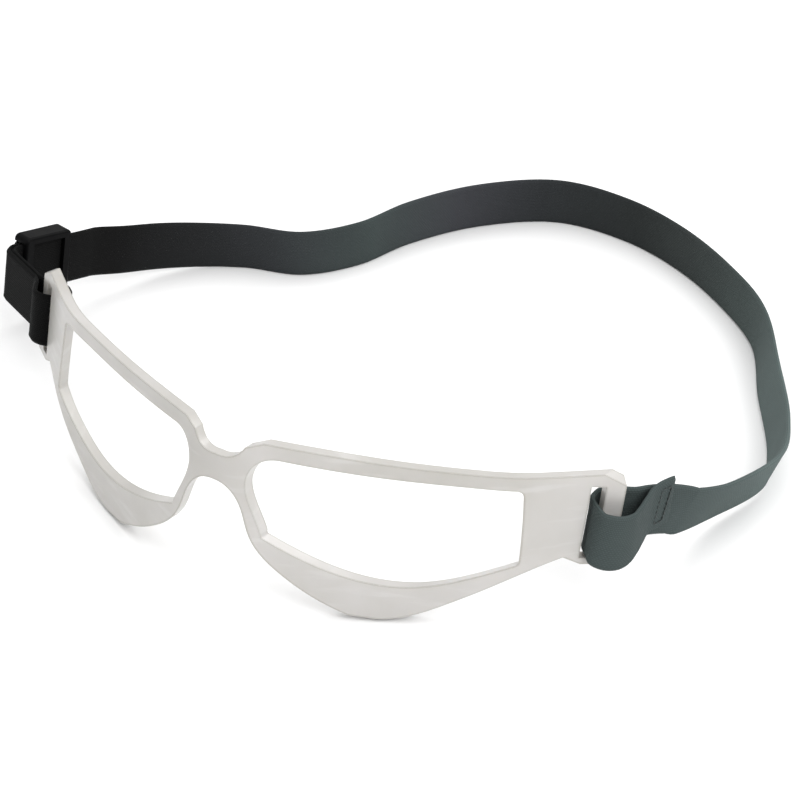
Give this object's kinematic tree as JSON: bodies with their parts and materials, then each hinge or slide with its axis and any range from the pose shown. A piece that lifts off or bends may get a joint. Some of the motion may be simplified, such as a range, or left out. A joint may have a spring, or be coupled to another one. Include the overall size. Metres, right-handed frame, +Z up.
{
  "type": "training goggles",
  "caption": "Lensless wrap-round sports goggles: moulded translucent frame with an elastic head strap that is shortened by a strap slider.",
  "frame": {"origin": "on the ground, at the middle of the part's outline seen from above", "axes": "+X towards the wearer's left, -Y is the way the goggles face, +Z up from the surface they lie on"},
  "size_m": [0.188, 0.1674, 0.0401],
  "materials": {
    "moulded_frame": "satin",
    "webbing": "matte",
    "thread": "matte",
    "slider_plastic": "gloss"
  },
  "bodies": {
    "frame": {"goggle_frame": "moulded_frame"},
    "strap": {"elastic_strap": "webbing", "strap_return_layer": "webbing", "strap_sewn_seam": "thread"},
    "slider": {"strap_slider": "slider_plastic", "strap_slider_end": "webbing", "slider_end_seam": "thread"}
  },
  "joints": [
    {"name": "strap_tilt", "type": "hinge", "parent": "frame", "child": "strap", "pos_m": [0.00179, -0.04299, 0.02115], "axis": [1, 0, 0], "range_deg": [-4, 4]},
    {"name": "slider_slide", "type": "slide", "parent": "strap", "child": "slider", "axis": [0.2419, 0.9415, -0.2347], "range_m": [0, 0.008], "deforming": ["strap_return_layer"]}
  ]
}
